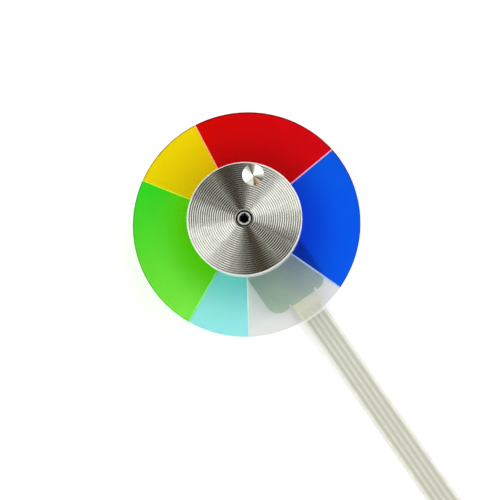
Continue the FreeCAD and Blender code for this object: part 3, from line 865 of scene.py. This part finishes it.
@dataclass
class FlatCable:
    """The flat cable with its four conductors, the tape at its root and the bare contacts at its end."""

    azimuth: float = CABLE_AZIMUTH
    offset: float = CABLE_OFFSET
    width: float = 5.0
    thickness: float = 0.3
    film_thickness: float = 0.18
    conductor_offsets: tuple[float, ...] = (-1.5, -0.5, 0.5, 1.5)
    conductor_width: float = 0.7
    ridge_run: float = 0.1
    length: float = 75.08
    exit_distance: float = 16.5
    exit_height: float = 1.85
    # The route as (distance along the azimuth, height), the same points as the solid's
    route: tuple[tuple[float, float], ...] = (
        (13.0, 1.85), (24.0, 1.85), (37.0, 0.15), (60.0, 0.5), (80.0, 0.15), (88.0, 0.15),
    )
    path_steps: int = 16
    tape_length: float = 3.75
    tape_thickness: float = 0.08
    tape_rows: int = 24
    # Where the tape's ridges start and end, as shares of a conductor's width, and how thin it is pressed
    tape_foot: float = 0.7
    tape_crest: float = 0.4
    tape_pressed: float = 0.3

    def place(self, distance: float, lateral: float, height: float) -> tuple[float, float, float]:
        """Where a point of the cable is.

        Args:
            distance: How far along the azimuth.
            lateral: How far to the left of it.
            height: How far above the table.

        Returns:
            The point, in millimetres.
        """
        turn = math.radians(self.azimuth)
        x = distance * math.cos(turn) - lateral * math.sin(turn)
        y = distance * math.sin(turn) + lateral * math.cos(turn)
        return (x, y, height)

    def path(self) -> list[Vector]:
        """Reads the points of the route's smooth line.

        Returns:
            Points from the root to the far end, in metres.
        """
        data = bpy.data.curves.new("cable_route", "CURVE")
        data.dimensions = "3D"
        spline = data.splines.new("NURBS")
        spline.points.add(len(self.route) - 1)
        for point, (distance, height) in zip(spline.points, self.route):
            point.co = (*(c * MM for c in self.place(distance, self.offset, height)), 1.0)
        spline.order_u = 3
        spline.use_endpoint_u = True
        spline.resolution_u = self.path_steps
        curve = bpy.data.objects.new("cable_route", data)
        bpy.context.scene.collection.objects.link(curve)
        bpy.context.view_layer.update()
        graph = bpy.context.evaluated_depsgraph_get()
        line = bpy.data.meshes.new_from_object(curve.evaluated_get(graph))
        points = [vertex.co.copy() for vertex in line.vertices]
        bpy.data.objects.remove(curve)
        return points

    def section(self) -> list[tuple[float, float]]:
        """The cable's cross-section, with a low ridge over each conductor on both sides.

        Returns:
            (lateral, height) points in millimetres.
        """
        edge, film, ridge = self.width / 2, self.film_thickness / 2, self.thickness / 2
        half, run = self.conductor_width / 2, self.ridge_run / 2
        top = [(-edge, film / 2), (-edge + self.ridge_run, film)]
        for centre in self.conductor_offsets:
            top += [
                (centre - half - run, film), (centre - half + run, ridge),
                (centre + half - run, ridge), (centre + half + run, film),
            ]
        top += [(edge - self.ridge_run, film), (edge, film / 2)]
        return top + [(y, -z) for y, z in reversed(top)]

    def build_cable(self) -> Object:
        """Sweeps the section along the route.


        Returns:
            The cable.
        """
        path = self.path()
        section = self.section()
        lateral = Vector(self.place(0.0, 1.0, 0.0))
        vertices = []
        for i, point in enumerate(path):
            tangent = (path[min(i + 1, len(path) - 1)] - path[max(i - 1, 0)]).normalized()
            normal = tangent.cross(lateral).normalized()
            if normal.z < 0:
                normal.negate()
            vertices += [point / MM + lateral * y + normal * z for y, z in section]
        count = len(section)
        faces = []
        for i in range(len(path) - 1):
            for j in range(count):
                k = (j + 1) % count
                faces.append((i * count + j, i * count + k, (i + 1) * count + k, (i + 1) * count + j))
        last = (len(path) - 1) * count
        faces += [tuple(range(count)), tuple(range(last, last + count))]
        cable = mesh_piece("flat_cable", vertices, faces, [0] * len(faces), [CABLE_FILM.material()])
        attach(cable, "base")
        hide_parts("ribbon_cable")
        return cable

    def build_tape(self) -> Object:
        """Lays the tape over the cable's root, pressed down between the conductors.

        Returns:
            The tape.
        """
        low, high = (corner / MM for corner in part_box("cable_tape"))
        steps = (-self.tape_foot, -self.tape_crest, self.tape_crest, self.tape_foot)
        columns = [-self.width / 2, *(
            centre + step * self.conductor_width for centre in self.conductor_offsets for step in steps
        ), self.width / 2]
        lifted = [0.0] + [0.0, 1.0, 1.0, 0.0] * len(self.conductor_offsets) + [0.0]
        vertices, faces = [], []
        for side in (0.0, 1.0):
            for i in range(self.tape_rows + 1):
                share = i / self.tape_rows
                for y, lift in zip(columns, lifted):
                    rise = self.tape_thickness * (self.tape_pressed + (1 - self.tape_pressed) * lift * share)
                    distance = self.exit_distance + self.tape_length * share
                    vertices.append(self.place(distance, self.offset + y, low.z + side * rise))
        count = len(columns)
        layer = (self.tape_rows + 1) * count
        for i in range(self.tape_rows):
            for j in range(count - 1):
                a, b = i * count + j, i * count + j + 1
                c, d = b + count, a + count
                faces += [(a, b, c, d), (a + layer, b + layer, c + layer, d + layer)]
        rim = list(range(count))
        rim += [i * count + count - 1 for i in range(1, self.tape_rows + 1)]
        rim += [self.tape_rows * count + j for j in range(count - 2, -1, -1)]
        rim += [i * count for i in range(self.tape_rows - 1, 0, -1)]
        for a, b in zip(rim, rim[1:] + rim[:1]):
            faces.append((a, b, b + layer, a + layer))
        tape = mesh_piece("root_tape", vertices, faces, [0] * len(faces), [PAPER_TAPE.material()])
        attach(tape, "base")
        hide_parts("cable_tape")
        return tape

    def build(self, nodes: dict) -> list[Object]:
        """Makes the cable and its tape, and takes the CAD nodes by name."""
        return [self.build_cable(), self.build_tape()]


@dataclass
class Filter:
    """One filter: its name, its angles anticlockwise from X and its coating's shades.

    The joint's colour is that of the ground edges that meet at its start: painted light, for the coloured
    light that the glass on both sides sends through them. The rim's colour is that of its outer edge: painted
    shade, darker than the glass.
    """

    colour: str
    start: float
    end: float
    # The coating's shades, partly its drift and partly painted shade and light.
    hub_shade: str
    first_shade: str
    last_shade: str
    # Painted light: the colour of the joint's edges.
    joint_painted_light: str
    # Painted shade: the colour of the rim's edge.
    rim_painted_shade: str
    haze: float = 0.0

    @property
    def glass(self) -> CoatedGlass:
        """The filter's coated glass."""
        return CoatedGlass(
            f"{self.colour}_coated_glass", self.hub_shade, self.first_shade, self.last_shade,
            self.start, self.end,
        )

    @property
    def underside(self) -> CoatedGlass:
        """The same glass at its lower face, which may be hazy."""
        return replace(self.glass, name=f"{self.colour}_coated_glass_underside", roughness=self.haze)

    @property
    def joint(self) -> GroundGlassEdge:
        """The ground edges at the filter's start, with the coloured light from the glass on both sides
        painted into their colour.
        """
        return GroundGlassEdge(f"{self.colour}_joint_edge_painted_light", self.joint_painted_light)

    @property
    def rim(self) -> GroundGlassEdge:
        """The filter's ground outer edge, darker than the glass: painted shade."""
        return GroundGlassEdge(f"{self.colour}_rim_edge_painted_shade", self.rim_painted_shade)


@dataclass
class FilterRing:
    """The six filters, each a flat sector of coated glass with ground edges."""

    inner_radius: float = 8.0
    outer_radius: float = 20.0
    gap: float = 0.05
    edge_break: float = 0.09
    step: float = 1.5
    filters: list[Filter] = field(default_factory=lambda: [
        Filter("red", 39.8, 117.2, "#D2000A", "#E20012", "#D80000", "#FAD0FF", "#B01818"),
        Filter("yellow", 117.2, 157.3, "#FDE200", "#F6DE00", "#F6E000", "#FF9414", "#DCCC50"),
        Filter("green", 157.3, 240.7, "#69EE00", "#36E627", "#8DFF4D", "#E8FF38", "#48C83C"),
        Filter("cyan", 240.7, 271.9, "#85F4FA", "#A7FEFF", "#A7FEFF", "#B4FFCA", "#9CEAE4"),
        Filter("clear", 271.9, 324.4, "#F2F3F2", "#F7F7F7", "#F4F4F2", "#E4FBFB", "#E0E2E0"),
        Filter("blue", 324.4, 399.8, "#0051F8", "#0062FC", "#0064FC", "#C8E0FF", "#062C90", 0.3),
    ])

    def outline(self, piece: Filter, inset: float) -> list[tuple[float, float]]:
        """The outline of one filter.

        Args:
            piece: The filter.
            inset: How far inside its true outline.

        Returns:
            (x, y) points: the inner edge, then the outer edge, both from the start to the end.
        """
        points = []
        count = math.ceil((piece.end - piece.start) / self.step)
        for radius in (self.inner_radius + inset, self.outer_radius - inset):
            trim = math.asin((self.gap / 2 + inset) / radius)
            first, last = math.radians(piece.start) + trim, math.radians(piece.end) - trim
            for i in range(count + 1):
                angle = first + (last - first) * i / count
                points.append((radius * math.cos(angle), radius * math.sin(angle)))
        return points

    def build_filter(self, piece: Filter, following: Filter) -> Object:
        """Makes one filter.

        Args:
            piece: The filter.
            following: The filter that meets its end.

        Returns:
            The filter's glass.
        """
        node = "filter_" + piece.colour
        low, high = (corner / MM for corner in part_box(node))
        full, inset = self.outline(piece, 0.0), self.outline(piece, self.edge_break)
        levels = [
            (inset, low.z), (full, low.z + self.edge_break),
            (full, high.z - self.edge_break), (inset, high.z),
        ]
        vertices = [(x, y, z) for outline, z in levels for x, y in outline]
        size = len(full)
        half = size // 2
        rim = [*range(half), *range(size - 1, half - 1, -1)]
        rim_slots = [3] * (half - 1) + [2] + [3] * (half - 1) + [1]
        faces, slots = [], []
        for level in range(len(levels) - 1):
            for a, b, slot in zip(rim, rim[1:] + rim[:1], rim_slots):
                base = level * size
                faces.append((base + a, base + b, base + b + size, base + a + size))
                slots.append(slot)
        for base, slot in ((0, 4), ((len(levels) - 1) * size, 0)):
            for i in range(half - 1):
                faces.append((base + i, base + i + 1, base + half + i + 1, base + half + i))
                slots.append(slot)
        glass = mesh_piece(f"{piece.colour}_filter", vertices, faces, slots, [
            finish.material()
            for finish in (piece.glass, piece.joint, following.joint, piece.rim, piece.underside)
        ])
        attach(glass, "wheel")
        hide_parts(node)
        return glass

    def build(self) -> list[Object]:
        """Makes the six filters."""
        followers = self.filters[1:] + self.filters[:1]
        return [self.build_filter(piece, following) for piece, following in zip(self.filters, followers)]


@dataclass
class BalanceCap:
    """The turned cap: a face of fine grooves, a chamfered rim, and a drilling that balances the wheel."""

    seat_radius: float = 9.0
    undercut: float = 0.5
    chamfer: float = 0.2
    groove_start: float = 1.7
    groove_depth: float = 0.07
    groove_count: int = 21
    groove_steps: int = 8
    groove_power: float = 1.6
    bore_radius: float = 1.4
    bore_chamfer: float = 0.2
    pocket_radius: float = 7.2
    roof: float = 1.4
    register_radius: float = 7.95
    register_height: float = 0.5
    segments: int = 360
    drill_radius: float = 1.85
    drill_wall: float = 0.09
    drill_depth: float = 0.763
    # The share of the cone that its blunt tip takes
    drill_tip: float = 0.08
    drill_above: float = 1.0
    drill_place: tuple[float, float] = DRILL_PLACE
    drill_segments: int = 72

    def profile(self, radius: float, bottom: float, top: float) -> list[tuple[float, float]]:
        """The cap's closed profile.

        Args:
            radius: The rim's radius.
            bottom: The height of its seat.
            top: The height of its face.

        Returns:
            (radius, height) points.
        """
        pitch = (radius - self.chamfer - self.groove_start) / self.groove_count
        face = [(self.groove_start, top)]
        for i in range(self.groove_count):
            for j in range(1, self.groove_steps + 1):
                share = j / self.groove_steps
                dip = self.groove_depth * (1 - abs(2 * share - 1) ** self.groove_power)
                face.append((self.groove_start + (i + share) * pitch, top - dip))
        return [
            (self.register_radius, bottom), (self.seat_radius, bottom),
            (self.seat_radius, bottom + self.undercut), (radius, bottom + self.undercut),
            (radius, top - self.chamfer), *reversed(face),
            (self.bore_radius + self.bore_chamfer, top), (self.bore_radius, top - self.bore_chamfer),
            (self.bore_radius, top - self.roof), (self.pocket_radius, top - self.roof),
            (self.pocket_radius, bottom + self.register_height),
            (self.register_radius, bottom + self.register_height),
        ]

    def drill(self, cap: Object, top: float) -> None:
        """Cuts the drill point's cone into the cap.

        Args:
            cap: The cap.
            top: The height of its face.
        """
        tip_top = -self.drill_depth + self.drill_tip * (self.drill_depth - self.drill_wall)
        vertices, faces = lathe(
            [
                (0.0, -self.drill_depth), (self.drill_tip * self.drill_radius, tip_top),
                (self.drill_radius, -self.drill_wall), (self.drill_radius, self.drill_above),
                (0.0, self.drill_above),
            ],
            self.drill_segments,
        )
        x, y = self.drill_place
        cutter = mesh_piece(
            "drill_point", [(vx + x, vy + y, vz + top) for vx, vy, vz in vertices], faces,
            [1] * len(faces), list(cap.data.materials),
        )
        cut = cap.modifiers.new("drilling", "BOOLEAN")
        cut.operation = "DIFFERENCE"
        cut.solver = "EXACT"
        cut.object = cutter
        bpy.context.view_layer.update()
        graph = bpy.context.evaluated_depsgraph_get()
        drilled = bpy.data.meshes.new_from_object(cap.evaluated_get(graph))
        cap.modifiers.remove(cut)
        cap.data = drilled
        bpy.data.objects.remove(cutter)
        cap.data.set_sharp_from_angle(angle=math.radians(SHARP_ANGLE))

    def build(self) -> Object:
        """Makes the cap.

        Returns:
            The cap.
        """
        low, high = (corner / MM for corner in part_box("balance_cap"))
        vertices, faces = lathe(self.profile(high.x, low.z, high.z), self.segments)
        rim = high.x - self.chamfer - SURE_MM
        slots = [2 if all(math.hypot(*vertices[v][:2]) > rim for v in face) else 0 for face in faces]
        cap = mesh_piece(
            "grooved_cap", vertices, faces, slots,
            [TURNED_ALUMINIUM.material(), DRILLED_ALUMINIUM.material(), SATIN_ALUMINIUM_PAINTED_LIGHT.material()],
        )
        self.drill(cap, high.z)
        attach(cap, "wheel")
        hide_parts("balance_cap")
        return cap


@dataclass
class Dressing:
    """The solids that keep their shape, by the finish that each takes."""

    finishes: list[tuple[Finish, tuple[str, ...]]] = field(default_factory=lambda: [
        (TURNED_ALUMINIUM, ("filter_carrier",)),
        (DRAWN_STEEL, ("rotor_cup", "end_cap")),
        (GROUND_STEEL, ("motor_shaft",)),
        (SPRING_STEEL, ("retaining_clip", "preload_washer")),
        (BEARING_STEEL, (
            "lower_bearing_inner_ring", "lower_bearing_outer_ring", "lower_bearing_balls",
            "upper_bearing_inner_ring", "upper_bearing_outer_ring", "upper_bearing_balls",
        )),
        (CAGE_STEEL, ("lower_bearing_cage", "upper_bearing_cage")),
        (CAST_ALUMINIUM, ("base_plate",)),
        (TURNED_BRASS, ("bearing_housing",)),
        (BONDED_MAGNET, ("magnet_ring",)),
        (LAMINATED_STEEL, ("stator_core",)),
        (MOULDED_NYLON, ("stator_insulator_lower", "stator_insulator_upper")),
        (ENAMELLED_COPPER, ("coils_phase_u", "coils_phase_v", "coils_phase_w", "coil_leads")),
        (REFLOWED_SOLDER, ("coil_solder_joints", "cable_solder_joints")),
        (MASKED_BOARD, ("circuit_board",)),
        (CURED_ADHESIVE, ("filter_bond_lower", "filter_bond_upper")),
        (STIFFENER_FILM, ("cable_end_stiffener",)),
        (TINNED_COPPER, ("cable_contacts",)),
    ])

    def build(self, nodes: dict) -> None:
        """Gives each of the solids its material.

        Args:
            nodes: The CAD nodes by name.
        """
        for finish, names in self.finishes:
            material = finish.material()
            for name in names:
                for slot in nodes[name].material_slots:
                    slot.material = material
                log.info("%s: %s", name, finish.name)


def main() -> None:
    """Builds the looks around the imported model."""
    logging.basicConfig(level=logging.INFO, format="%(name)s %(message)s")
    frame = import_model()
    nodes = frame["nodes"]
    Camera().build()
    pieces = FlatCable().build(nodes)
    Studio().build()
    pieces += [*FilterRing().build(), BalanceCap().build()]
    for piece in pieces:
        log.info("%s: %d faces", piece.name, len(piece.data.polygons))
    Dressing().build(nodes)


if __name__ == "__main__":
    main()
